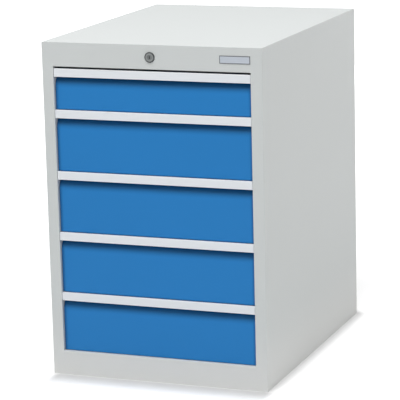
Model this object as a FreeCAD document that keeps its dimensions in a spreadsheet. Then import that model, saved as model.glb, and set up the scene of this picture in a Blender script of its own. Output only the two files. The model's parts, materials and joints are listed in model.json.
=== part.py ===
import FreeCAD, Part
import Sketcher
import os
from types import SimpleNamespace

# A steel drawer cabinet with five full-extension drawers and a central lock.
# The origin is the middle of the footprint on the floor, X runs to the right,
# the drawers pull out towards -Y and Z is up.
# Every piece is drawn from the front face of the housing backwards, so y = 0
# inside a body is the plane of the front frame.

# Driving dimensions in millimetres
SIZES = {
    # Housing
    "cabinet_width": 555.0,
    "cabinet_depth": 736.0,
    "cabinet_height": 820.0,
    "panel_gauge": 1.5,
    "stile_width": 28.5,
    "stile_depth": 30.0,
    "stile_return": 18.0,
    "rear_flange": 16.0,
    "fascia_height": 58.0,
    "plinth_height": 60.0,
    "rail_top_flange": 42.0,
    "rail_hem": 12.0,
    "panel_lip": 20.0,
    "fold_radius": 1.2,
    # Uprights
    "upright_width": 42.0,
    "upright_depth": 37.3,
    "upright_gauge": 2.0,
    "upright_overrun": 12.0,
    "slot_pitch": 25.0,
    "slot_height": 12.0,
    "slot_width": 5.0,
    # Drawers
    "top_reveal": 5.0,
    "front_gap": 1.0,
    "last_front_cut": 3.0,
    "grip_side_gap": 1.0,
    "front_side_gap": 1.0,
    "grip_height": 20.0,
    "grip_setback": 1.0,
    "grip_wall": 2.0,
    "grip_lip": 5.0,
    "grip_flange": 6.0,
    "grip_edge_radius": 0.8,
    "front_setback": 8.0,
    "front_gauge": 1.0,
    "finger_depth": 18.0,
    "recess_below_grip": 15.0,
    "recess_radius": 28.0,
    "recess_heel_radius": 8.0,
    "front_frame_lip": 34.0,
    "front_frame_sill": 14.0,
    "front_edge_radius": 0.8,
    "tray_rear_room": 104.0,
    "tray_gauge": 1.0,
    "tray_lift": 7.0,
    "tray_headroom": 25.0,
    "tray_rim_height": 6.0,
    "tray_rim_width": 2.0,
    "divider_slot_pitch": 50.0,
    "divider_slot_width": 3.0,
    "divider_slot_margin": 4.0,
    # Telescopic rails
    "rail_thickness": 12.7,
    "rail_height": 45.0,
    "rail_gauge": 1.2,
    "rail_clearance": 0.4,
    "rail_inset": 2.0,
    "rail_overhang": 1.0,
    "rail_end_margin": 3.0,
    "rail_lift": 1.0,
    "fixed_rail_flange": 9.0,
    "rail_web_clearance": 0.6,
    # Locking
    "lock_proud": 2.5,
    "lock_face_diameter": 25.0,
    "lock_edge_chamfer": 1.0,
    "barrel_diameter": 19.0,
    "barrel_hole_clearance": 0.1,
    "plug_diameter": 12.5,
    "plug_clearance": 0.05,
    "plug_recess": 0.4,
    "plug_tail": 3.0,
    "keyway_width": 1.8,
    "keyway_height": 7.5,
    "keyway_depth": 9.0,
    "nut_across_corners": 26.0,
    "nut_thickness": 4.0,
    "cam_thickness": 2.0,
    "cam_radius": 10.0,
    "crank_pin_diameter": 4.0,
    "pin_slot_clearance": 0.4,
    "bar_gauge": 2.0,
    "bar_running_gap": 0.3,
    "transfer_bar_height": 20.0,
    "transfer_bar_tail": 16.0,
    "transfer_bar_end": 6.0,
    "bar_width": 22.0,
    "bar_face_gap": 1.3,
    "bar_top_margin": 10.0,
    "hook_reach": 10.5,
    "hook_root": 12.0,
    "hook_height": 8.0,
    "hook_clearance": 1.2,
    "hook_upright_gap": 0.4,
    "catch_clearance": 1.0,
    "catch_height": 11.0,
    "catch_gauge": 2.0,
    "catch_length": 14.0,
    "catch_setback": 1.2,
    "catch_reach": 10.5,
    "catch_rim_gap": 3.4,
    "guide_wall": 1.2,
    "guide_height": 14.0,
    # Badge
    "badge_width": 75.0,
    "badge_height": 18.5,
    "badge_thickness": 1.0,
    "badge_border": 1.6,
    "badge_face_depth": 0.3,
    "badge_inset": 29.0,
    # One overrun for every cut that leaves the piece
    "overrun": 5.0,
}

# Shares: the rise of the finger recess for each millimetre of its depth, and
# the places of the two transfer-bar guides across the opening's half width
RECESS_RISE_SHARE = 1.2
GUIDE_PLACE_SHARES = (0.3, 0.75)
DIAGONAL_SHARE = 0.5 ** 0.5
MATCH_SHARE = 1e-6
NUT_SIDES = 6
FULL_TURN = 360.0
QUARTER_TURN = 90.0
DRAWER_NUMBERS = (1, 2, 3, 4, 5)
SIDES = (("left", -1), ("right", 1))


class Size:
    """A length together with the sheet formula that works it out."""

    def __init__(self, value, formula):
        self.value = value
        self.formula = formula

    def __add__(self, other):
        return Size(self.value + other.value, f"({self.formula} + {other.formula})")

    def __sub__(self, other):
        return Size(self.value - other.value, f"({self.formula} - {other.formula})")

    def __mul__(self, share):
        return Size(self.value * share, f"({self.formula} * {share})")

    def __truediv__(self, count):
        return Size(self.value / count, f"({self.formula} / {count})")


ZERO = Size(0.0, "0")

doc = FreeCAD.newDocument("DrawerCabinet")
sheet = doc.addObject("Spreadsheet::Sheet", "Sizes")
for row, (word, number) in enumerate(SIZES.items(), start=1):
    sheet.set(f"A{row}", word)
    sheet.set(f"B{row}", str(number))
    sheet.setAlias(f"B{row}", word)
doc.recompute()
size = SimpleNamespace(**{word: Size(number, f"Sizes.{word}") for word, number in SIZES.items()})


# Lines and places that several pieces share
front_plane = size.lock_proud / 2 - size.cabinet_depth / 2
half_width = size.cabinet_width / 2
inner_half = half_width - size.panel_gauge
opening_half = half_width - size.stile_width
wall_top = size.cabinet_height - size.panel_gauge
wall_height = wall_top - size.panel_gauge
opening_top = size.cabinet_height - size.fascia_height
lock_line = size.cabinet_height - size.fascia_height / 2

grip_width = (opening_half - size.grip_side_gap) * 2
front_half = opening_half - size.front_side_gap
grip_back = size.grip_setback + size.grip_wall
recess_wall = size.front_setback + size.finger_depth
front_back = recess_wall + size.front_gauge

rail_face = inner_half - size.upright_depth
tray_half = rail_face - size.rail_thickness
tray_room_half = tray_half - size.tray_gauge
tray_end = size.cabinet_depth - size.panel_gauge * 2 - size.tray_rear_room
rail_line = size.rail_lift + size.rail_height / 2
rail_top = size.rail_lift + size.rail_height
rail_step = size.rail_gauge + size.rail_clearance
middle_rail_half = size.rail_height / 2 - rail_step
inner_rail_half = middle_rail_half - rail_step

transfer_face = size.stile_depth + size.bar_running_gap
cam_back = transfer_face - size.bar_face_gap
barrel_length = cam_back - size.cam_thickness - size.plug_tail
bar_face = transfer_face + size.bar_gauge + size.bar_face_gap
hook_back = bar_face + size.bar_gauge * 2
bar_inner = rail_face + size.bar_face_gap
bar_outer = bar_inner + size.bar_width
hook_level = rail_line + middle_rail_half + size.hook_clearance
catch_level = hook_level + size.hook_height + size.catch_clearance
lock_lift = size.hook_height + size.catch_clearance
crank_offset = lock_lift / 2
crank_radius = crank_offset / DIAGONAL_SHARE
bar_pin_place = bar_inner + (size.bar_width - lock_lift) / 2

upright_setback = hook_back + size.hook_upright_gap
rail_setback = upright_setback + size.rail_inset
rail_length = tray_end + size.rail_overhang - rail_setback
rear_upright_setback = rail_setback + rail_length - size.rail_end_margin - size.upright_width

# The shallow drawer is as low as its rail, hook and catch allow, and the deep
# ones share what is left of the opening
shallow_tray_height = catch_level + size.catch_height + size.catch_rim_gap + size.tray_rim_height
shallow_pitch = shallow_tray_height + size.tray_headroom
first_top = opening_top - size.top_reveal
deep_stack = first_top - shallow_pitch - size.plinth_height + size.last_front_cut
deep_pitch = deep_stack / len(DRAWER_NUMBERS[1:])


class Drawer:
    """The heights that one drawer's pieces share."""

    def __init__(self, number, top, bottom, pitch):
        self.number = number
        self.top = top
        self.bottom = bottom
        self.height = top - bottom
        self.tray_bottom = bottom + size.tray_lift
        self.tray_height = pitch - size.tray_headroom


def stack_of_drawers():
    """One shallow drawer at the top and deep ones below it, down to the plinth."""
    drawers = []
    top = first_top
    for number in DRAWER_NUMBERS:
        pitch = shallow_pitch if number == DRAWER_NUMBERS[0] else deep_pitch
        following_top = top - pitch
        stop = size.plinth_height if number == DRAWER_NUMBERS[-1] else following_top
        drawers.append(Drawer(number, top, stop + size.front_gap, pitch))
        top = following_top
    return drawers


DRAWERS = stack_of_drawers()


# Drawing tools

def bind(thing, name, length):
    """Give a property its value and the formula that keeps it."""
    thing.setExpression(name, length.formula)


def new_body(label, height=ZERO, setback=ZERO, across=ZERO):
    """A body measured from the front plane, at a height above the floor."""
    body = doc.addObject("PartDesign::Body", label)
    body.Label = label
    bind(body, ".Placement.Base.x", across)
    bind(body, ".Placement.Base.y", front_plane + setback)
    bind(body, ".Placement.Base.z", height)
    return body


def new_sketch(body, role, depth=ZERO):
    """A sketch on one of the body's planes, moved along X, +Y or Z by depth."""
    sketch = body.newObject("Sketcher::SketchObject", f"{body.Name}_outline")
    plane = [item for item in body.Origin.OriginFeatures if item.Role == role][0]
    sketch.AttachmentSupport = [(plane, "")]
    sketch.MapMode = "FlatFace"
    along_normal = ZERO - depth if role == "XZ_Plane" else depth
    bind(sketch, ".AttachmentOffset.Base.z", along_normal)
    return sketch


def tie(sketch, direction, item, point, length):
    """Hold a point of the sketch at a length from the sketch's origin."""
    if length.value == 0:
        axis = -2 if direction == "DistanceX" else -1
        sketch.addConstraint(Sketcher.Constraint("PointOnObject", item, point, axis))
        return
    if length.value > 0:
        rule = Sketcher.Constraint(direction, -1, 1, item, point, length.value)
    else:
        length = ZERO - length
        rule = Sketcher.Constraint(direction, item, point, -1, 1, length.value)
    index = sketch.addConstraint(rule)
    bind(sketch, f"Constraints[{index}]", length)


def draw_outline(sketch, corners):
    """A closed outline of straight lines through the corners."""
    first = sketch.GeometryCount
    spots = [FreeCAD.Vector(across.value, up.value, 0) for across, up in corners]
    for here, ahead in zip(spots, spots[1:] + spots[:1]):
        sketch.addGeometry(Part.LineSegment(here, ahead), False)
    for index, (across, up) in enumerate(corners):
        following = first + (index + 1) % len(corners)
        sketch.addConstraint(Sketcher.Constraint("Coincident", first + index, 2, following, 1))
        tie(sketch, "DistanceX", first + index, 1, across)
        tie(sketch, "DistanceY", first + index, 1, up)


def draw_box(sketch, low, high):
    """A rectangle between two corners."""
    draw_outline(sketch, [low, (high[0], low[1]), high, (low[0], high[1])])


def draw_circle(sketch, across, up, radius):
    """A circle with its centre and radius tied."""
    item = sketch.GeometryCount
    centre = FreeCAD.Vector(across.value, up.value, 0)
    sketch.addGeometry(Part.Circle(centre, FreeCAD.Vector(0, 0, 1), radius.value), False)
    tie(sketch, "DistanceX", item, 3, across)
    tie(sketch, "DistanceY", item, 3, up)
    index = sketch.addConstraint(Sketcher.Constraint("Radius", item, radius.value))
    bind(sketch, f"Constraints[{index}]", radius)


def mirrored(corners, side):
    """The corners for the right side, or turned over for the left."""
    return [(across * side, up) for across, up in corners]


def folded(path, gauge, turn):
    """Outline of a sheet folded square along a path, its gauge on one side.

    The path follows one face of the sheet. With turn 1 the gauge lies to the
    left of the path and with turn -1 to the right.
    """
    steps = []
    for here, ahead in zip(path, path[1:]):
        across = ahead[0].value - here[0].value
        up = ahead[1].value - here[1].value
        if abs(across) > abs(up):
            steps.append((0, turn if across > 0 else -turn))
        else:
            steps.append((-turn if up > 0 else turn, 0))
    inner = []
    for index, (across, up) in enumerate(path):
        before = steps[max(index - 1, 0)]
        after = steps[min(index, len(steps) - 1)]
        shift = {before, after}
        across_shift = sum(item[0] for item in shift)
        up_shift = sum(item[1] for item in shift)
        inner.append((across + gauge * across_shift, up + gauge * up_shift))
    return list(path) + inner[::-1]


def pad(body, sketch, length, both_ways=False, turned=False):
    """Raise the sketch by a length, along X, +Y or Z unless turned."""
    raised = body.newObject("PartDesign::Pad", f"{body.Name}_pad")
    raised.Profile = sketch
    raised.SideType = "Symmetric" if both_ways else "One side"
    on_front_plane = sketch.AttachmentSupport[0][0].Role == "XZ_Plane"
    raised.Reversed = turned != on_front_plane
    bind(raised, "Length", length)
    doc.recompute()
    return raised


def pocket(body, sketch, length, both_ways=False, turned=False):
    """Cut the sketch's shape by a length, along X, +Y or Z unless turned."""
    volume = body.Shape.Volume
    cut = body.newObject("PartDesign::Pocket", f"{body.Name}_cut")
    cut.Profile = sketch
    cut.SideType = "Symmetric" if both_ways else "One side"
    on_front_plane = sketch.AttachmentSupport[0][0].Role == "XZ_Plane"
    cut.Reversed = turned == on_front_plane
    bind(cut, "Length", length)
    doc.recompute()
    if body.Shape.Volume >= volume:
        raise ValueError(f"{body.Label}: a pocket cuts nothing")
    return cut


def repeat(body, cut, axis, room, pitch):
    """Repeat a cut along an axis of its sketch, at every full pitch within a room."""
    count = int(room.value / pitch.value + MATCH_SHARE) - 1
    row = body.newObject("PartDesign::LinearPattern", f"{body.Name}_row")
    row.Originals = [cut]
    row.Direction = (cut.Profile[0], [axis])
    row.Occurrences = count
    bind(row, "Length", pitch * (count - 1))
    body.Tip = row
    doc.recompute()


def edges_at(feature, **place):
    """Names of the straight edges whose two ends share the given x, y or z."""
    names = []
    reach = feature.Shape.BoundBox.DiagonalLength * MATCH_SHARE
    for index, edge in enumerate(feature.Shape.Edges, start=1):
        spots = [corner.Point for corner in edge.Vertexes]
        if len(spots) == 2 and all(
            abs(getattr(spot, axis) - length.value) < reach
            for spot in spots
            for axis, length in place.items()
        ):
            names.append(f"Edge{index}")
    if not names:
        raise ValueError(f"{feature.Label}: no edge at the place asked for")
    return names


def fillet(body, names, radius):
    """Round the named edges of the body's last feature."""
    sharp = body.Tip
    rounded = body.newObject("PartDesign::Fillet", f"{body.Name}_bend")
    rounded.Base = (sharp, names)
    bind(rounded, "Radius", radius)
    body.Tip = rounded
    doc.recompute()
    return rounded


# Housing

def make_side_panel(name, side):
    """One sheet: rear flange, outer wall, front stile, its return and its closing flange."""
    body = new_body(f"side_panel_{name}", size.panel_gauge)
    path = [
        (half_width - size.rear_flange, size.cabinet_depth),
        (half_width, size.cabinet_depth),
        (half_width, ZERO),
        (opening_half, ZERO),
        (opening_half, size.stile_depth),
        (opening_half + size.stile_return, size.stile_depth),
    ]
    sketch = new_sketch(body, "XY_Plane")
    draw_outline(sketch, folded(mirrored(path, side), size.panel_gauge, -side))
    pad(body, sketch, wall_height)
    bends = edges_at(body.Tip, x=half_width * side, y=ZERO)
    bends += edges_at(body.Tip, x=half_width * side, y=size.cabinet_depth)
    fillet(body, bends, size.fold_radius)


def make_end_panel(label, height, turned):
    """The top or base sheet over the whole footprint, with welded side lips inside."""
    body = new_body(label, height)
    sketch = new_sketch(body, "XY_Plane")
    draw_box(sketch, (ZERO - half_width, ZERO), (half_width, size.cabinet_depth))
    pad(body, sketch, size.panel_gauge, turned=turned)
    lips = new_sketch(body, "XY_Plane")
    for _, side in SIDES:
        low = ((inner_half - size.panel_gauge) * side, size.stile_depth + size.overrun)
        high = (inner_half * side, size.cabinet_depth - size.panel_gauge * 2)
        draw_box(lips, low, high)
    pad(body, lips, size.panel_lip, turned=not turned)
    corners = []
    for _, side in SIDES:
        corners += edges_at(body.Tip, x=half_width * side, y=ZERO)
        corners += edges_at(body.Tip, x=half_width * side, y=size.cabinet_depth)
    fillet(body, corners, size.fold_radius)


def make_back_panel():
    """A plain sheet between the side walls, in front of their rear flanges."""
    body = new_body("back_panel", size.panel_gauge)
    sketch = new_sketch(body, "XY_Plane")
    low = (ZERO - inner_half, size.cabinet_depth - size.panel_gauge * 2)
    draw_box(sketch, low, (inner_half, size.cabinet_depth - size.panel_gauge))
    pad(body, sketch, wall_height)


def make_fascia():
    """The folded rail above the drawers, with the hole for the lock."""
    body = new_body("fascia")
    path = [
        (size.rail_top_flange, wall_top),
        (ZERO, wall_top),
        (ZERO, opening_top),
        (size.stile_depth, opening_top),
        (size.stile_depth, opening_top + size.rail_hem),
    ]
    sketch = new_sketch(body, "YZ_Plane")
    draw_outline(sketch, folded(path, size.panel_gauge, 1))
    pad(body, sketch, opening_half * 2, both_ways=True)
    fillet(body, edges_at(body.Tip, y=ZERO, z=opening_top), size.fold_radius)
    hole = new_sketch(body, "XZ_Plane")
    draw_circle(hole, ZERO, lock_line, size.barrel_diameter / 2 + size.barrel_hole_clearance)
    pocket(body, hole, size.panel_gauge + size.overrun)


def make_plinth_rail():
    """The folded rail below the drawers."""
    body = new_body("plinth_rail")
    path = [
        (size.rail_top_flange, size.panel_gauge),
        (ZERO, size.panel_gauge),
        (ZERO, size.plinth_height),
        (size.stile_depth, size.plinth_height),
        (size.stile_depth, size.plinth_height - size.rail_hem),
    ]
    sketch = new_sketch(body, "YZ_Plane")
    draw_outline(sketch, folded(path, size.panel_gauge, -1))
    pad(body, sketch, opening_half * 2, both_ways=True)
    fillet(body, edges_at(body.Tip, y=ZERO, z=size.plinth_height), size.fold_radius)


def make_upright(place, setback, name, side):
    """A U-shaped post on the side wall, slotted at the height grid of the drawers."""
    foot = size.plinth_height - size.upright_overrun
    height = opening_top + size.upright_overrun - foot
    body = new_body(f"upright_{place}_{name}", foot, setback)
    path = [
        (inner_half, ZERO),
        (rail_face, ZERO),
        (rail_face, size.upright_width),
        (inner_half, size.upright_width),
    ]
    sketch = new_sketch(body, "XY_Plane")
    draw_outline(sketch, folded(mirrored(path, side), size.upright_gauge, -side))
    pad(body, sketch, height)
    slot = new_sketch(body, "YZ_Plane", rail_face * side)
    middle = size.upright_width / 2
    low = (middle - size.slot_width / 2, size.slot_pitch)
    draw_box(slot, low, (middle + size.slot_width / 2, size.slot_pitch + size.slot_height))
    cut = pocket(body, slot, size.upright_gauge * 2 + size.overrun, both_ways=True)
    repeat(body, cut, "V_Axis", height, size.slot_pitch)


# Drawers

def make_front(drawer):
    """A folded pan whose upper edge rolls back into a finger recess behind the grip."""
    body = new_body(f"drawer_front_{drawer.number}", drawer.bottom)
    gauge = size.front_gauge
    face = size.front_setback
    shoulder = drawer.height - size.grip_height - size.recess_below_grip
    heel = shoulder + size.finger_depth * RECESS_RISE_SHARE
    top = drawer.height - size.grip_wall
    mitre = gauge * ((1 + RECESS_RISE_SHARE ** 2) ** 0.5 - RECESS_RISE_SHARE)
    block = new_sketch(body, "YZ_Plane")
    draw_outline(block, [
        (face, ZERO),
        (face, shoulder),
        (recess_wall, heel),
        (recess_wall, top - gauge),
        (grip_back, top - gauge),
        (grip_back, top),
        (front_back, top),
        (front_back, ZERO),
    ])
    pad(body, block, front_half * 2, both_ways=True)
    hollow = new_sketch(body, "YZ_Plane")
    draw_outline(hollow, [
        (face + gauge, gauge),
        (face + gauge, shoulder - mitre),
        (recess_wall, heel - mitre - gauge * RECESS_RISE_SHARE),
        (recess_wall, gauge),
    ])
    pocket(body, hollow, (front_half - gauge) * 2, both_ways=True)
    window = new_sketch(body, "XZ_Plane", recess_wall)
    side = front_half - size.front_frame_lip
    draw_box(window, (ZERO - side, size.front_frame_sill), (side, shoulder))
    pocket(body, window, gauge + size.overrun)
    fillet(body, edges_at(body.Tip, y=face, z=shoulder), size.recess_radius)
    fillet(body, edges_at(body.Tip, y=face + gauge, z=shoulder - mitre), size.recess_radius - gauge)
    fillet(body, edges_at(body.Tip, y=recess_wall, z=heel), size.recess_heel_radius)
    fillet(body, edges_at(body.Tip, y=face, z=ZERO), size.front_edge_radius)


def make_grip(drawer):
    """An extruded strip that hooks over the front's top fold and hangs down before the recess."""
    body = new_body(f"grip_strip_{drawer.number}", drawer.top - size.grip_height)
    path = [
        (size.grip_setback + size.grip_lip, ZERO),
        (size.grip_setback, ZERO),
        (size.grip_setback, size.grip_height),
        (size.grip_setback + size.grip_flange, size.grip_height),
    ]
    sketch = new_sketch(body, "YZ_Plane")
    draw_outline(sketch, folded(path, size.grip_wall, -1))
    pad(body, sketch, grip_width, both_ways=True)
    edges = edges_at(body.Tip, y=size.grip_setback, z=ZERO)
    edges += edges_at(body.Tip, y=size.grip_setback, z=size.grip_height)
    edges += edges_at(body.Tip, y=size.grip_setback + size.grip_lip, z=size.grip_wall)
    fillet(body, edges, size.grip_edge_radius)


def make_tray(drawer):
    """The open sheet box with slotted side walls and a turned-out rim."""
    body = new_body(f"drawer_tray_{drawer.number}", drawer.tray_bottom)
    shell = new_sketch(body, "XY_Plane")
    draw_box(shell, (ZERO - tray_half, front_back), (tray_half, tray_end))
    pad(body, shell, drawer.tray_height)
    room = new_sketch(body, "XY_Plane", size.tray_gauge)
    low = (ZERO - tray_room_half, front_back + size.tray_gauge)
    draw_box(room, low, (tray_room_half, tray_end - size.tray_gauge))
    pocket(body, room, drawer.tray_height)
    slot = new_sketch(body, "YZ_Plane")
    middle = front_back + size.tray_gauge + size.divider_slot_pitch
    low = (middle - size.divider_slot_width / 2, rail_top + size.divider_slot_margin)
    top = drawer.tray_height - size.tray_rim_height - size.divider_slot_margin
    draw_box(slot, low, (middle + size.divider_slot_width / 2, top))
    cut = pocket(body, slot, tray_half * 2 + size.overrun, both_ways=True)
    repeat(body, cut, "H_Axis", tray_end - front_back, size.divider_slot_pitch)
    rim = new_sketch(body, "XY_Plane", drawer.tray_height - size.tray_rim_height)
    outer = tray_half + size.tray_rim_width
    draw_outline(rim, [
        (ZERO - outer, front_back),
        (ZERO - tray_half, front_back),
        (ZERO - tray_half, tray_end),
        (tray_half, tray_end),
        (tray_half, front_back),
        (outer, front_back),
        (outer, tray_end + size.tray_rim_width),
        (ZERO - outer, tray_end + size.tray_rim_width),
    ])
    pad(body, rim, size.tray_rim_height)


def make_catch(drawer):
    """The angle on the tray's right wall that the locking bar holds back."""
    body = new_body(f"drawer_catch_{drawer.number}", drawer.tray_bottom + catch_level)
    face = hook_back + size.catch_setback
    path = [
        (tray_half + size.catch_reach, face),
        (tray_half, face),
        (tray_half, face + size.catch_length),
    ]
    sketch = new_sketch(body, "XY_Plane")
    draw_outline(sketch, folded(path, size.catch_gauge, -1))
    pad(body, sketch, size.catch_height)


# Telescopic rails

def make_rail_pair(label, drawer, web_face, flange_edge, half_height, turn):
    """One member of both telescopic rails of a drawer, a channel on its side.

    With turn 1 the channel opens towards the drawer, with turn -1 away from it.
    """
    body = new_body(label, drawer.tray_bottom + rail_line, rail_setback)
    body.AllowCompound = True
    sketch = new_sketch(body, "XZ_Plane")
    path = [
        (flange_edge, ZERO - half_height),
        (web_face, ZERO - half_height),
        (web_face, half_height),
        (flange_edge, half_height),
    ]
    for _, side in SIDES:
        draw_outline(sketch, folded(mirrored(path, side), size.rail_gauge, side * turn))
    pad(body, sketch, rail_length)


def make_rails(drawer):
    """The housing's rails, the intermediate rails and the drawer's own rails."""
    number = drawer.number
    nest = size.rail_gauge + size.rail_web_clearance
    fixed_edge = rail_face - size.fixed_rail_flange
    inner_edge = rail_face - nest * 2
    make_rail_pair(f"fixed_rails_{number}", drawer, rail_face, fixed_edge, size.rail_height / 2, 1)
    make_rail_pair(f"middle_rails_{number}", drawer, rail_face - nest, tray_half + nest, middle_rail_half, 1)
    make_rail_pair(f"inner_rails_{number}", drawer, tray_half, inner_edge, inner_rail_half, -1)


# Lock

def make_lock_barrel():
    """The fixed round barrel with its flange on the face of the fascia."""
    body = new_body("lock_barrel", lock_line)
    sketch = new_sketch(body, "YZ_Plane")
    bore = size.plug_diameter / 2 + size.plug_clearance
    face_radius = size.lock_face_diameter / 2
    nose = ZERO - size.lock_proud
    draw_outline(sketch, [
        (nose, bore),
        (nose, face_radius - size.lock_edge_chamfer),
        (nose + size.lock_edge_chamfer, face_radius),
        (ZERO, face_radius),
        (ZERO, size.barrel_diameter / 2),
        (barrel_length, size.barrel_diameter / 2),
        (barrel_length, bore),
    ])
    turned = body.newObject("PartDesign::Revolution", "lock_barrel_turned")
    turned.Profile = sketch
    turned.ReferenceAxis = (sketch, ["H_Axis"])
    turned.Angle = FULL_TURN
    doc.recompute()


def make_lock_nut():
    """The hexagon nut that holds the barrel behind the fascia."""
    blank = doc.addObject("Part::Prism", "lock_nut_blank")
    blank.Polygon = NUT_SIDES
    bind(blank, "Circumradius", size.nut_across_corners / 2)
    bind(blank, "Height", size.nut_thickness)
    bore = doc.addObject("Part::Cylinder", "lock_nut_bore")
    bind(bore, "Radius", size.barrel_diameter / 2 + size.barrel_hole_clearance)
    bind(bore, "Height", size.nut_thickness)
    nut = doc.addObject("Part::Cut", "lock_nut")
    nut.Base = blank
    nut.Tool = bore
    nut.Label = "lock_nut"
    turn = FreeCAD.Rotation(FreeCAD.Vector(1, 0, 0), -QUARTER_TURN)
    nut.Placement = FreeCAD.Placement(FreeCAD.Vector(), turn)
    bind(nut, ".Placement.Base.y", front_plane + size.panel_gauge)
    bind(nut, ".Placement.Base.z", lock_line)
    doc.recompute()


def make_lock_plug():
    """The turning plug with its keyway."""
    body = new_body("lock_plug", lock_line)
    face = size.plug_recess - size.lock_proud
    sketch = new_sketch(body, "XZ_Plane", face)
    draw_circle(sketch, ZERO, ZERO, size.plug_diameter / 2)
    pad(body, sketch, barrel_length + size.plug_tail - face)
    keyway = new_sketch(body, "XZ_Plane", face)
    low = (ZERO - size.keyway_width / 2, ZERO - size.keyway_height / 2)
    draw_box(keyway, low, (size.keyway_width / 2, size.keyway_height / 2))
    pocket(body, keyway, size.keyway_depth)


def make_lock_cam():
    """The disc behind the plug with the crank pin that drives the transfer bar."""
    body = new_body("lock_cam", lock_line)
    face = cam_back - size.cam_thickness
    disc = new_sketch(body, "XZ_Plane", face)
    draw_circle(disc, ZERO, ZERO, size.cam_radius)
    pad(body, disc, size.cam_thickness)
    pin = new_sketch(body, "XZ_Plane", cam_back)
    draw_circle(pin, ZERO - crank_offset, crank_offset, size.crank_pin_diameter / 2)
    pad(body, pin, size.bar_face_gap + size.bar_gauge)


def make_transfer_bar():
    """The flat bar behind the fascia: slotted over the crank pin, with a pin for the locking bar."""
    body = new_body("transfer_bar", lock_line)
    pin_radius = size.crank_pin_diameter / 2
    half = size.transfer_bar_height / 2
    strip = new_sketch(body, "XZ_Plane", transfer_face)
    end = bar_pin_place + size.transfer_bar_end
    draw_box(strip, (ZERO - size.transfer_bar_tail, ZERO - half), (end, half))
    pad(body, strip, size.bar_gauge)
    slot = new_sketch(body, "XZ_Plane", transfer_face)
    play = pin_radius + size.pin_slot_clearance
    low = (ZERO - crank_offset - play, crank_offset - play)
    draw_box(slot, low, (play - crank_offset, crank_radius + play))
    pocket(body, slot, size.bar_gauge + size.overrun)
    pin = new_sketch(body, "XZ_Plane", transfer_face + size.bar_gauge)
    draw_circle(pin, bar_pin_place, ZERO, pin_radius)
    pad(body, pin, size.bar_face_gap + size.bar_gauge)


def make_locking_bar():
    """The upright strip with the slanting slot that lifts it."""
    body = new_body("locking_bar")
    strip = new_sketch(body, "XZ_Plane", bar_face)
    low = (bar_inner, DRAWERS[-1].tray_bottom)
    draw_box(strip, low, (bar_outer, lock_line + size.bar_top_margin))
    pad(body, strip, size.bar_gauge)
    slot = new_sketch(body, "XZ_Plane", bar_face)
    play = (size.crank_pin_diameter / 2 + size.pin_slot_clearance) / DIAGONAL_SHARE
    draw_outline(slot, [
        (bar_pin_place, lock_line + play),
        (bar_pin_place - play, lock_line),
        (bar_pin_place + lock_lift, lock_line - lock_lift - play),
        (bar_pin_place + lock_lift + play, lock_line - lock_lift),
    ])
    pocket(body, slot, size.bar_gauge + size.overrun)


def make_bar_hooks():
    """One hook plate for each drawer, riveted to the back of the locking bar."""
    body = new_body("bar_hooks")
    body.AllowCompound = True
    plates = new_sketch(body, "XZ_Plane", bar_face + size.bar_gauge)
    for drawer in DRAWERS:
        foot = drawer.tray_bottom + hook_level
        low = (bar_inner - size.hook_reach, foot)
        draw_box(plates, low, (bar_inner + size.hook_root, foot + size.hook_height))
    pad(body, plates, size.bar_gauge)


def make_bar_guides():
    """Two loops on the front upright that the locking bar slides in."""
    low_guide = DRAWERS[-1].tray_bottom + lock_lift + size.guide_wall
    high_guide = opening_top - size.guide_height - size.front_gap
    body = new_body("bar_guides", low_guide)
    body.AllowCompound = True
    gap = size.bar_running_gap
    wall = size.guide_wall
    loop = new_sketch(body, "XY_Plane")
    low = (bar_inner - gap - wall, bar_face - gap - wall)
    draw_box(loop, low, (bar_outer + gap + wall, upright_setback))
    draw_box(loop, (bar_inner - gap, bar_face - gap), (bar_outer + gap, bar_face + size.bar_gauge + gap))
    first = pad(body, loop, size.guide_height)
    pair = body.newObject("PartDesign::LinearPattern", "bar_guides_pair")
    pair.Originals = [first]
    pair.Direction = (loop, ["N_Axis"])
    pair.Occurrences = 2
    bind(pair, "Length", high_guide - low_guide)
    body.Tip = pair
    doc.recompute()


def make_transfer_guides():
    """Two loops under the fascia's upper flange that the transfer bar slides in."""
    first_place, second_place = [opening_half * share for share in GUIDE_PLACE_SHARES]
    body = new_body("transfer_guides", lock_line, across=first_place)
    body.AllowCompound = True
    gap = size.bar_running_gap
    wall = size.guide_wall
    half = size.transfer_bar_height / 2
    top = wall_top - size.panel_gauge - lock_line
    loop = new_sketch(body, "YZ_Plane")
    low = (transfer_face - gap - wall, ZERO - half - gap - wall)
    draw_box(loop, low, (transfer_face + size.bar_gauge + gap + wall, top))
    low = (transfer_face - gap, ZERO - half - gap)
    draw_box(loop, low, (transfer_face + size.bar_gauge + gap, half + gap))
    first = pad(body, loop, size.guide_height)
    pair = body.newObject("PartDesign::LinearPattern", "transfer_guides_pair")
    pair.Originals = [first]
    pair.Direction = (loop, ["N_Axis"])
    pair.Occurrences = 2
    bind(pair, "Length", second_place - first_place)
    body.Tip = pair
    doc.recompute()


def make_badge():
    """A bare plate with a raised border at the right end of the fascia."""
    place = half_width - size.badge_inset - size.badge_width / 2
    body = new_body("badge_plate", lock_line, across=place)
    plate = new_sketch(body, "XZ_Plane")
    across = size.badge_width / 2
    up = size.badge_height / 2
    draw_box(plate, (ZERO - across, ZERO - up), (across, up))
    pad(body, plate, size.badge_thickness, turned=True)
    face = new_sketch(body, "XZ_Plane", ZERO - size.badge_thickness)
    across = across - size.badge_border
    up = up - size.badge_border
    draw_box(face, (ZERO - across, ZERO - up), (across, up))
    pocket(body, face, size.badge_face_depth)


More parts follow.
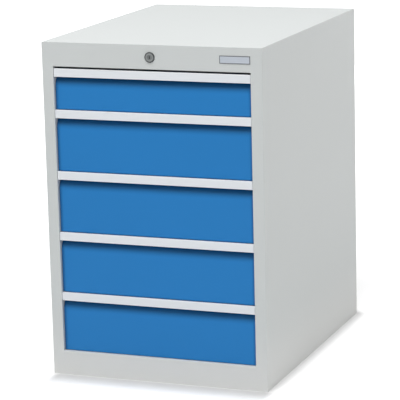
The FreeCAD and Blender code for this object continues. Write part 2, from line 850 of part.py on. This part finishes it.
def build():
    """All the pieces of the cabinet."""
    for name, side in SIDES:
        make_side_panel(name, side)
        make_upright("front", upright_setback, name, side)
        make_upright("rear", rear_upright_setback, name, side)
    make_end_panel("top_panel", wall_top, False)
    make_end_panel("base_panel", size.panel_gauge, True)
    make_back_panel()
    make_fascia()
    make_plinth_rail()
    for drawer in DRAWERS:
        make_front(drawer)
        make_grip(drawer)
        make_tray(drawer)
        make_catch(drawer)
        make_rails(drawer)
    make_lock_barrel()
    make_lock_nut()
    make_lock_plug()
    make_lock_cam()
    make_transfer_bar()
    make_locking_bar()
    make_bar_hooks()
    make_bar_guides()
    make_transfer_guides()
    make_badge()


def write_parts():
    """Check every object and write each piece under its own name."""
    doc.recompute()
    for item in doc.Objects:
        if "Invalid" in item.State or "Error" in item.State:
            raise ValueError(f"{item.Label} failed: {item.State}")
    pieces = [item for item in doc.Objects if item.TypeId in ("PartDesign::Body", "Part::Cut")]
    os.makedirs("parts", exist_ok=True)
    for piece in pieces:
        if piece.Shape.isNull() or not piece.Shape.isValid():
            raise ValueError(f"{piece.Label} has no valid shape")
        piece.Shape.exportStep(f"parts/{piece.Label}.step")
    print(f"{len(pieces)} pieces written")


build()
write_parts()
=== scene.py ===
import json
import math

import bpy
from mathutils import Matrix, Vector


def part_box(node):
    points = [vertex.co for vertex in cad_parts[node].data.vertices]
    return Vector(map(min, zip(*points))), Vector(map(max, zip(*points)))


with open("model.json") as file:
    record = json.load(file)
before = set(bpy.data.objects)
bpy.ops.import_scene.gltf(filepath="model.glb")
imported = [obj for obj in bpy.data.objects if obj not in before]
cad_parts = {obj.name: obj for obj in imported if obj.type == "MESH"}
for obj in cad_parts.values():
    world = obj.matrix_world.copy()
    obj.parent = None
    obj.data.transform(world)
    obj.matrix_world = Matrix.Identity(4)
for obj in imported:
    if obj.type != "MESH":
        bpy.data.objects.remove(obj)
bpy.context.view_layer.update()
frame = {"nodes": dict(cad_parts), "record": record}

# A steel drawer cabinet: light grey housing, blue drawer fronts, pale grip strips.
# All its pieces are the frame's own. This script gives them their finishes and puts
# the cabinet on a pale floor in soft studio light. Lengths are in metres, and colours
# in linear light.

NODES = frame["nodes"]
FRONT_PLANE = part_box("fascia")[0].y
WHITE = (1.0, 1.0, 1.0)

# The feet of the grip strips: the top drawer is shallow, the others are alike
TOP_FOOT, SECOND_FOOT, FOURTH_FOOT, LAST_FOOT = (
    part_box(f"grip_strip_{number}")[0].z for number in (1, 2, 4, 5)
)
DEEP_STEP, TOP_STEP = FOURTH_FOOT - LAST_FOOT, TOP_FOOT - SECOND_FOOT

# The photograph's camera: its direction round the cabinet, its tilt, its distance and its lens
CAMERA_AZIMUTH = math.radians(21.028)
CAMERA_ELEVATION = math.radians(12.223)
CAMERA_ROLL = math.radians(-1.400)
CAMERA_DISTANCE = 5.3425
CAMERA_TARGET = Vector((-0.0243, FRONT_PLANE + 0.368, 0.3713))
CAMERA_LENS, CAMERA_SENSOR = 189.4, 36.0

# Soft rectangular lamps: name, place, aim, width, height and watts
LAMPS = (
    ("key", (0.0, -2.5, 5.2), (0.0, -0.2, 0.4), 3.0, 2.2, 178.5),
    ("overhead", (0.0, 1.0, 5.4), (0.0, 0.1, 0.6), 2.6, 2.6, 51.0),
    ("right_fill", (4.2, 0.3, 0.5), (0.0, 0.0, 0.25), 2.4, 0.9, 14.2),
    ("left_fill", (-4.2, 0.3, 0.5), (0.0, 0.0, 0.25), 2.4, 0.9, 15.5),
    ("back_fill", (0.0, 4.6, 0.5), (0.0, 0.0, 0.3), 2.4, 0.8, 20.0),
)

# The white surround: its strength where light is gathered, and where it is seen
GATHERED_WHITE, SEEN_WHITE = 0.32, 1.0

# The floor, and its own white: none where the cabinet stands, some beside it, most far behind
FLOOR_HALF, FLOOR_ROUGHNESS, FLOOR_SHEEN = 60.0, 0.9, 0.1
SIDE_REACH, FRONT_REACH, CONTACT_GLOW = 0.034, 0.11, 0.42
FAR_START, FAR_REACH, FAR_GLOW = 0.3, 2.4, 0.55

# The soft shade on the floor before the cabinet, which fades towards the left corner
FLOOR_TONE, SHADE_TONE = (0.90, 0.90, 0.90), (0.625, 0.625, 0.625)
SHADE_ROUND, LEFT_FADE = 0.001, 0.022

# Each finish: its shade, its full colour, and its roughness before clouds and grain dull it
FINISHES = {
    "housing_grey": ((0.627, 0.655, 0.650), (0.657, 0.685, 0.680), 0.42),
    "front_blue": ((0.0115, 0.199, 0.532), (0.0155, 0.217, 0.572), 0.46),
    "grip_light": ((0.74, 0.77, 0.805), (0.79, 0.82, 0.85), 0.34),
    "tray_grey": ((0.58, 0.60, 0.59), (0.61, 0.63, 0.62), 0.44),
    "rail_steel": ((0.58, 0.59, 0.60), (0.72, 0.73, 0.74), 0.26),
    "zinc_steel": ((0.48, 0.49, 0.50), (0.62, 0.63, 0.64), 0.36),
    "lock_metal": ((0.15, 0.16, 0.16), (0.23, 0.24, 0.24), 0.34),
    "lock_core_metal": ((0.10, 0.11, 0.11), (0.16, 0.17, 0.17), 0.36),
    "badge_metal": ((0.395, 0.432, 0.485), (0.465, 0.502, 0.555), 0.38),
}

# Powder coat: its clouds, its orange peel and its specks, their shares of the colour, how much
# they dull it and how high they stand
COAT_CLOUD = {"scale": 3.0, "detail": 3.0}
COAT_PEEL = {"scale": 420.0, "detail": 2.0}
COAT_SPECK = {"scale": 1600.0, "detail": 1.0}
CLOUD_SHARE, PEEL_SHARE, SPECK_SHARE = 0.7, 0.2, 0.1
CLOUD_DULLING, SPECK_DULLING = 0.06, 0.04
PEEL_HEIGHT, SPECK_TO_PEEL = 0.00006, 0.35
GREY_SHEEN, BLUE_SHEEN = 0.5, 0.28

# Painted light and shade: the housing is painted paler near the floor, and the fronts are painted
# darker blue at their bent ends and in the recesses below the grip strips, where shade falls
FOOT_LIGHT_HEIGHT, FOOT_LIGHT_COLOUR = 0.18, (0.733, 0.742, 0.729)
END_SHADE_WIDTH, END_SHADE_COLOUR = 0.010, (0.008, 0.105, 0.30)
RECESS_SHADE_FLAT, RECESS_SHADE_DEPTH, RECESS_SHADE_COLOUR = 0.010, 0.028, (0.0088, 0.121, 0.320)

# Drawn aluminium: its streaks and its grain run lengthwise
STRIP_METAL = 0.12
STRIP_STREAK = {"scale": 60.0, "detail": 4.0, "stretch": (0.6, 30.0, 30.0)}
STRIP_GRAIN = {"scale": 900.0, "detail": 2.0, "stretch": (0.04, 1.0, 1.0)}
STREAK_SHARE, GRAIN_SHARE, STRIP_DULLING = 0.6, 0.4, 0.10

# The painted highlight along the lips of the grip strips, and the room below a strip's foot that
# its pattern starts in
LIP_HIGHLIGHT_COLOUR, LIP_HIGHLIGHT_WIDTH, LIP_ROOM = (0.90, 0.92, 0.94), 0.0024, 0.005

# Zinc-plated sheet: its spangles by finish, its dull clouds and its rolling grain
SPANGLES = {"rail_steel": 220.0, "zinc_steel": 140.0}
SHEET_CLOUD = {"scale": 14.0, "detail": 4.0}
SHEET_GRAIN = {"scale": 700.0, "detail": 2.0, "stretch": (1.0, 0.05, 1.0)}
SPANGLE_SHARE, SHEET_CLOUD_SHARE = 0.5, 0.5
SHEET_CLOUD_DULLING, SHEET_GRAIN_DULLING = 0.12, 0.06

# How high the grain of the aluminium and of the zinc stands
GRAIN_HEIGHT = 0.00002

# The lock: its clouds, its turned rings and its darker rim
LOCK_CLOUD = {"scale": 300.0, "detail": 3.0}
LOCK_DULLING = 0.12
RINGS_PER_METRE, RING_HEIGHT = 9000.0, 0.000004
RIM_START, RIM_END, RIM_COLOUR = 0.0085, 0.0115, (0.055, 0.060, 0.060)

# The bare badge: half metal, with a fine grain inside a darker border
BADGE_METAL, BADGE_DULLING = 0.5, 0.10
BADGE_GRAIN = {"scale": 900.0, "detail": 2.0, "stretch": (0.05, 1.0, 1.0)}
BORDER_WIDTH, BORDER_COLOUR = 0.0016, (0.13, 0.14, 0.15)

# A Mix node's sockets for colours, which share their names with its sockets for numbers
MIX_FIRST, MIX_SECOND, MIX_RESULT = 6, 7, 2


# Shader tools

class Wire:
    """A socket that takes arithmetic, each operator adding its Math node."""

    def __init__(self, tree, socket):
        self.tree = tree
        self.socket = socket

    def math(self, operation, *others):
        return self.tree.math(operation, self, *others)

    def __add__(self, other):
        return self.math("ADD", other)

    def __sub__(self, other):
        return self.math("SUBTRACT", other)

    def __mul__(self, other):
        return self.math("MULTIPLY", other)

    def __rsub__(self, other):
        return self.tree.math("SUBTRACT", other, self)

    __radd__ = __add__
    __rmul__ = __mul__

    def over(self, limit):
        """1 where the value is above the limit, otherwise 0."""
        return self.math("GREATER_THAN", limit)

    def size(self):
        """The value without its sign."""
        return self.math("ABSOLUTE")

    def positive(self):
        """The value, or 0 where it is negative."""
        return self.math("MAXIMUM", 0.0)

    def beside(self, other):
        """The length of a line that goes this far one way and the other value square to it."""
        return (self * self + other * other).math("SQRT")

    def ease(self, low, high):
        """A smooth climb from 0 at low to 1 at high."""
        sockets = {"Value": self, "From Min": low, "From Max": high}
        return self.tree.add("ShaderNodeMapRange", {"interpolation_type": "SMOOTHSTEP"}, sockets)


class Tree:
    """A node tree that grows by one method."""

    def __init__(self, node_tree):
        self.nodes = node_tree.nodes
        self.links = node_tree.links

    def add(self, kind, settings, sockets, output=0):
        """A node of any kind: its settings first, then the values or wires of its sockets."""
        node = self.nodes.new(kind)
        for setting, value in settings.items():
            setattr(node, setting, value)
        for socket, value in sockets.items():
            self.lead(value, node.inputs[socket])
        return Wire(self, node.outputs[output])

    def lead(self, value, target):
        """Link a wire to a socket, or set the socket's own value."""
        if isinstance(value, Wire):
            self.links.new(value.socket, target)
        elif target.type == "RGBA":
            target.default_value = (*value, 1.0)
        else:
            target.default_value = value

    def math(self, operation, *values):
        """A Math node on numbers and wires."""
        return self.add("ShaderNodeMath", {"operation": operation}, dict(enumerate(values)))

    def blend(self, share, first, second):
        """A colour between two colours."""
        sockets = {"Factor": share, MIX_FIRST: first, MIX_SECOND: second}
        return self.add("ShaderNodeMix", {"data_type": "RGBA"}, sockets, output=MIX_RESULT)


class Finish(Tree):
    """One material: its node tree and the surface shader that it feeds."""

    def __init__(self, name, **uniform):
        self.material = bpy.data.materials.new(name)
        self.material.use_nodes = True
        super().__init__(self.material.node_tree)
        self.surface = self.nodes["Principled BSDF"]
        self.feed(**uniform)
        self.place = self.add("ShaderNodeTexCoord", {}, {}, output="Object")

    def feed(self, **values):
        """Lead wires or values into the surface shader's sockets."""
        for socket, value in values.items():
            self.lead(value, self.surface.inputs[socket.replace("_", " ")])

    def axis(self, letter):
        """One coordinate of the place on the object."""
        return self.add("ShaderNodeSeparateXYZ", {}, {"Vector": self.place}, output=letter)

    def noise(self, scale, detail, stretch=(1.0, 1.0, 1.0)):
        """Soft noise between 0 and 1, its grain 1/scale metres, stretched along an axis."""
        spread = self.add("ShaderNodeMapping", {}, {"Vector": self.place, "Scale": stretch})
        sockets = {"Vector": spread, "Scale": scale, "Detail": detail}
        return self.add("ShaderNodeTexNoise", {}, sockets)

    def bump(self, height, distance):
        """Lead a height into the surface's normal."""
        sockets = {"Height": height, "Distance": distance}
        self.feed(Normal=self.add("ShaderNodeBump", {}, sockets))


def middle_and_half(node):
    """The middle of a node's box, and half its size."""
    low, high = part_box(node)
    return (low + high) / 2, (high - low) / 2


# Finishes

def powder_coat(name, sheen, light_and_shade_painter=None):
    """Baked powder coat: orange peel, slight clouding, dulled patches, and, where given, painted
    light and shade.
    """
    shade, colour, roughness = FINISHES[name]
    finish = Finish(name, Specular_IOR_Level=sheen)
    cloud = finish.noise(**COAT_CLOUD)
    peel = finish.noise(**COAT_PEEL)
    speck = finish.noise(**COAT_SPECK)
    mix = cloud * CLOUD_SHARE + peel * PEEL_SHARE + speck * SPECK_SHARE
    paint = finish.blend(mix, shade, colour)
    finish.feed(
        Base_Color=light_and_shade_painter(finish, paint) if light_and_shade_painter else paint,
        Roughness=roughness + cloud * CLOUD_DULLING + speck * SPECK_DULLING,
    )
    finish.bump(peel + speck * SPECK_TO_PEEL, PEEL_HEIGHT)
    return finish.material


def painted_light_foot(finish, paint):
    """The paint with painted light: paler towards the floor."""
    return finish.blend(finish.axis("Z").ease(0.0, FOOT_LIGHT_HEIGHT), FOOT_LIGHT_COLOUR, paint)


def painted_shade_recesses_and_ends(finish, paint):
    """The paint with painted shade: darker below the grip strips and at both ends of the drawer
    fronts.
    """
    height = finish.axis("Z")
    above = (height - (LAST_FOOT - DEEP_STEP)).math("MODULO", DEEP_STEP)
    below_grip = DEEP_STEP - above - height.over(SECOND_FOOT) * (DEEP_STEP - TOP_STEP)
    # Painted shade in the recesses below the grip strips
    clear = below_grip.ease(RECESS_SHADE_FLAT, RECESS_SHADE_DEPTH)
    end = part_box("drawer_front_1")[1].x
    end_shade_share = finish.axis("X").size().ease(end - END_SHADE_WIDTH, end)
    return finish.blend(end_shade_share, finish.blend(clear, RECESS_SHADE_COLOUR, paint), END_SHADE_COLOUR)


def anodised(name):
    """Pale satin aluminium, drawn lengthwise, with a painted highlight along the rounded lips."""
    shade, colour, roughness = FINISHES[name]
    finish = Finish(name, Metallic=STRIP_METAL)
    from_foot = finish.axis("Z") - (LAST_FOOT - LIP_ROOM)
    height = from_foot.math("MODULO", DEEP_STEP).math("MODULO", TOP_STEP) - LIP_ROOM
    half = middle_and_half("grip_strip_1")[1].z
    lip_highlight = (height - half).size().ease(half - LIP_HIGHLIGHT_WIDTH, half)
    streak = finish.noise(**STRIP_STREAK)
    grain = finish.noise(**STRIP_GRAIN)
    face = finish.blend(streak * STREAK_SHARE + grain * GRAIN_SHARE, shade, colour)
    finish.feed(
        Base_Color=finish.blend(lip_highlight, face, LIP_HIGHLIGHT_COLOUR),
        Roughness=roughness + grain * STRIP_DULLING,
    )
    finish.bump(grain, GRAIN_HEIGHT)
    return finish.material


def zinc_sheet(name):
    """Zinc on steel: metallic, with a faint spangle and dull patches."""
    shade, colour, roughness = FINISHES[name]
    finish = Finish(name, Metallic=1.0)
    sockets = {"Vector": finish.place, "Scale": SPANGLES[name]}
    cells = finish.add("ShaderNodeTexVoronoi", {"feature": "F1"}, sockets, output="Distance")
    cloud = finish.noise(**SHEET_CLOUD)
    grain = finish.noise(**SHEET_GRAIN)
    mix = cells * SPANGLE_SHARE + cloud * SHEET_CLOUD_SHARE
    finish.feed(
        Base_Color=finish.blend(mix, shade, colour),
        Roughness=roughness + cloud * SHEET_CLOUD_DULLING + grain * SHEET_GRAIN_DULLING,
    )
    finish.bump(grain, GRAIN_HEIGHT)
    return finish.material


def lock_face(name):
    """Nickel-plated zinc, turned: rings round the lock's axis."""
    shade, colour, roughness = FINISHES[name]
    finish = Finish(name, Metallic=1.0)
    middle = middle_and_half("lock_barrel")[0]
    radius = (finish.axis("X") - middle.x).beside(finish.axis("Z") - middle.z)
    rings = (radius * RINGS_PER_METRE).math("SINE")
    cloud = finish.noise(**LOCK_CLOUD)
    face = finish.blend(cloud, shade, colour)
    finish.feed(
        Base_Color=finish.blend(radius.ease(RIM_START, RIM_END), face, RIM_COLOUR),
        Roughness=roughness + cloud * LOCK_DULLING,
    )
    finish.bump(rings, RING_HEIGHT)
    return finish.material


def badge_finish(name):
    """A bare satin plate inside a darker border."""
    shade, colour, roughness = FINISHES[name]
    finish = Finish(name, Metallic=BADGE_METAL)
    middle, half = middle_and_half("badge_plate")
    beside = (finish.axis("X") - middle.x).size().over(half.x - BORDER_WIDTH)
    above = (finish.axis("Z") - middle.z).size().over(half.z - BORDER_WIDTH)
    grain = finish.noise(**BADGE_GRAIN)
    face = finish.blend(grain, shade, colour)
    finish.feed(
        Base_Color=finish.blend(beside.math("MAXIMUM", above), face, BORDER_COLOUR),
        Roughness=roughness + grain * BADGE_DULLING,
    )
    return finish.material


def dress_nodes():
    """Give every frame node the finish of its slot."""
    finishes = {
        # The housing gets painted light towards the floor
        "housing_grey": powder_coat("housing_grey", GREY_SHEEN, painted_light_foot),
        # The fronts get painted shade at their ends and below the grip strips
        "front_blue": powder_coat("front_blue", BLUE_SHEEN, painted_shade_recesses_and_ends),
        "grip_light": anodised("grip_light"),
        "tray_grey": powder_coat("tray_grey", GREY_SHEEN),
        "rail_steel": zinc_sheet("rail_steel"),
        "zinc_steel": zinc_sheet("zinc_steel"),
        "lock_metal": lock_face("lock_metal"),
        "lock_core_metal": lock_face("lock_core_metal"),
        "badge_metal": badge_finish("badge_metal"),
    }
    for row in frame["record"]["subparts"]:
        materials = NODES[row["node"]].data.materials
        materials.clear()
        materials.append(finishes[row["material_slot"]])


# Stage

def seen_in_picture(tree):
    """1 where the camera or a shiny surface looks, 0 where light is gathered."""
    direct = tree.add("ShaderNodeLightPath", {}, {}, output="Is Camera Ray")
    mirrored = tree.add("ShaderNodeLightPath", {}, {}, output="Is Glossy Ray")
    through = tree.add("ShaderNodeLightPath", {}, {}, output="Is Transmission Ray")
    return direct.math("MAXIMUM", mirrored).math("MAXIMUM", through)


def make_floor():
    """A wide pale floor: it keeps the cabinet's shadow and reads as white behind it."""
    mesh = bpy.data.meshes.new("floor")
    corners = [(x * FLOOR_HALF, y * FLOOR_HALF, 0)
               for x, y in ((-1, -1), (1, -1), (1, 1), (-1, 1))]
    mesh.from_pydata(corners, [], [(0, 1, 2, 3)])
    floor = bpy.data.objects.new("floor", mesh)
    bpy.context.collection.objects.link(floor)
    finish = Finish("floor_white", Roughness=FLOOR_ROUGHNESS, Specular_IOR_Level=FLOOR_SHEEN,
                    Emission_Color=WHITE)
    low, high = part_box("base_panel")
    across = (finish.axis("X").size() - high.x).positive()
    left = (low.x + LEFT_FADE - finish.axis("X")).positive()
    behind = (finish.axis("Y") - high.y).positive()
    ahead = (low.y - finish.axis("Y")).positive()
    before = ahead.math("DIVIDE", ahead + across + SHADE_ROUND)
    far = across.beside(ahead + behind).ease(FAR_START, FAR_REACH)
    to_side = (across + left + behind) * (1 / SIDE_REACH)
    near = to_side.beside(ahead * (1 / FRONT_REACH)).ease(0.0, 1.0)
    seen = seen_in_picture(finish)
    finish.feed(
        Base_Color=finish.blend(seen * before * (1.0 - near), FLOOR_TONE, SHADE_TONE),
        Emission_Strength=seen * (near * CONTACT_GLOW + far * FAR_GLOW),
    )
    mesh.materials.append(finish.material)


def make_lamp(name, place, aim, width, height, watts):
    """A soft rectangular lamp aimed at a point."""
    data = bpy.data.lights.new(name, "AREA")
    data.shape = "RECTANGLE"
    data.size = width
    data.size_y = height
    data.energy = watts
    lamp = bpy.data.objects.new(name, data)
    lamp.location = place
    lamp.rotation_mode = "QUATERNION"
    lamp.rotation_quaternion = (Vector(aim) - Vector(place)).to_track_quat("-Z", "Y")
    bpy.context.collection.objects.link(lamp)


def make_light():
    """The key above the front, a softer lamp over the back, low fills and the surround."""
    for lamp in LAMPS:
        make_lamp(*lamp)
    world = bpy.data.worlds.new("surround")
    bpy.context.scene.world = world
    world.use_nodes = True
    tree = Tree(world.node_tree)
    background = tree.nodes["Background"].inputs
    strength = GATHERED_WHITE + seen_in_picture(tree) * (SEEN_WHITE - GATHERED_WHITE)
    tree.lead(strength, background["Strength"])
    tree.lead(WHITE, background["Color"])


def make_camera():
    """The photograph's viewpoint."""
    azimuth, elevation, roll = CAMERA_AZIMUTH, CAMERA_ELEVATION, CAMERA_ROLL
    back = Vector((
        math.sin(azimuth) * math.cos(elevation),
        -math.cos(azimuth) * math.cos(elevation),
        math.sin(elevation),
    ))
    right = (-back).cross(Vector((0, 0, 1))).normalized()
    up = right.cross(-back)
    turned_right = right * math.cos(roll) + up * math.sin(roll)
    turned_up = up * math.cos(roll) - right * math.sin(roll)
    data = bpy.data.cameras.new("camera")
    data.lens = CAMERA_LENS
    data.sensor_width = CAMERA_SENSOR
    camera = bpy.data.objects.new("camera", data)
    turn = Matrix((turned_right, turned_up, back)).transposed().to_4x4()
    camera.matrix_world = Matrix.Translation(CAMERA_TARGET + back * CAMERA_DISTANCE) @ turn
    bpy.context.collection.objects.link(camera)
    bpy.context.scene.camera = camera


make_camera()
make_floor()
make_light()
dress_nodes()
bpy.context.scene.view_settings.view_transform = "Standard"
